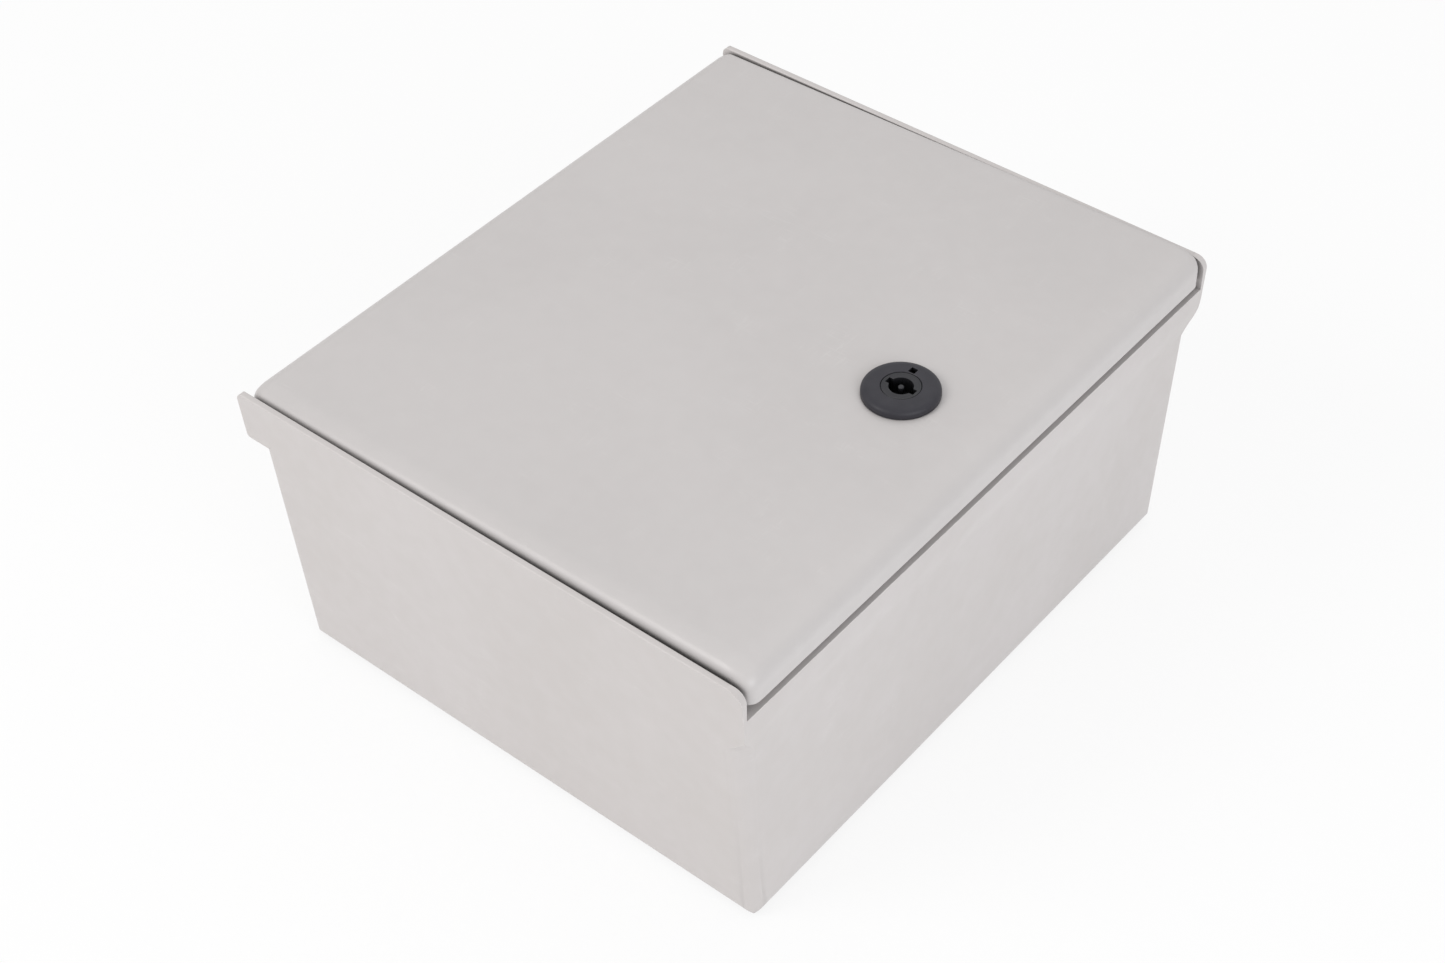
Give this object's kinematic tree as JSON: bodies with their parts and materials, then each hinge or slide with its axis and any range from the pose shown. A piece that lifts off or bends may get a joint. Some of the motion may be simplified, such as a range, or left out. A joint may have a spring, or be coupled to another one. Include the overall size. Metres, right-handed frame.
{
  "type": "ac disconnect box",
  "caption": "Polyester wall enclosure with a hinged door, a round double-bit lock and a rail-mounted switch-disconnector with an earth bar inside.",
  "frame": {"origin": "centre of the back face, where the box meets the wall", "axes": "+Z out of the wall towards the door, +Y from the lower end to the upper end, +X from the hinge side to the lock side"},
  "size_m": [0.25, 0.3, 0.1469],
  "materials": {
    "enclosure_shell": "satin moulded polyester",
    "door_shell": "satin moulded polyester",
    "seal_foam": "matt foamed seal",
    "stainless": "brushed",
    "zinc_plate": "zinc plated",
    "lock_body": "satin die-cast, dark grey",
    "lock_core": "satin die-cast, dark grey",
    "brass_plain": "turned",
    "copper_plain": "pressed copper",
    "switch_shell": "fine textured",
    "black_moulding": "satin",
    "green_moulding": "satin"
  },
  "bodies": {
    "enclosure": {"enclosure_body": "enclosure_shell", "boss_inserts": "brass_plain", "mounting_plate": "zinc_plate", "plate_screws": "stainless", "din_rail": "zinc_plate", "rail_screws": "stainless", "switch_base": "switch_shell", "switch_cover": "switch_shell", "switch_cover_screws": "stainless", "fixed_jaws": "copper_plain", "hinge_clips": "copper_plain", "terminal_cages": "zinc_plate", "terminal_screws": "stainless", "end_stops": "switch_shell", "end_stop_screws": "stainless", "earth_bar": "brass_plain", "earth_terminal_screws": "stainless", "earth_supports": "green_moulding", "earth_bar_screws": "stainless", "support_screws": "stainless"},
    "door": {"door": "door_shell", "door_gasket": "seal_foam", "hinge_pin_lower": "stainless", "hinge_pin_upper": "stainless", "lock_housing": "lock_body", "lock_seal": "seal_foam", "lock_nut": "zinc_plate"},
    "lock_rotor": {"lock_insert": "lock_core", "lock_cam": "zinc_plate", "cam_washer": "stainless", "cam_screw": "stainless"},
    "switch_rotor": {"switch_shaft": "black_moulding", "contact_blades": "copper_plain", "toggle_handle": "black_moulding"},
    "rail_foot": {"rail_clip": "black_moulding"}
  },
  "joints": [
    {"name": "door_hinge", "type": "hinge", "parent": "enclosure", "child": "door", "pos_m": [-0.118, 0, 0.1326], "axis": [0, -1, 0], "range_deg": [-0.9, 119]},
    {"name": "lock_turn", "type": "hinge", "parent": "door", "child": "lock_rotor", "pos_m": [0.07787, 0.005, 0.14268], "axis": [-0.0157, 0, 0.9999], "range_deg": [0, 90]},
    {"name": "switch_toggle", "type": "hinge", "parent": "enclosure", "child": "switch_rotor", "pos_m": [-0.012, 0.024, 0.068], "axis": [-1, 0, 0], "range_deg": [0, 70]},
    {"name": "rail_foot_slide", "type": "slide", "parent": "enclosure", "child": "rail_foot", "axis": [0, -1, 0], "range_m": [0, 0.003], "stiffness_N_per_m": 400}
  ]
}
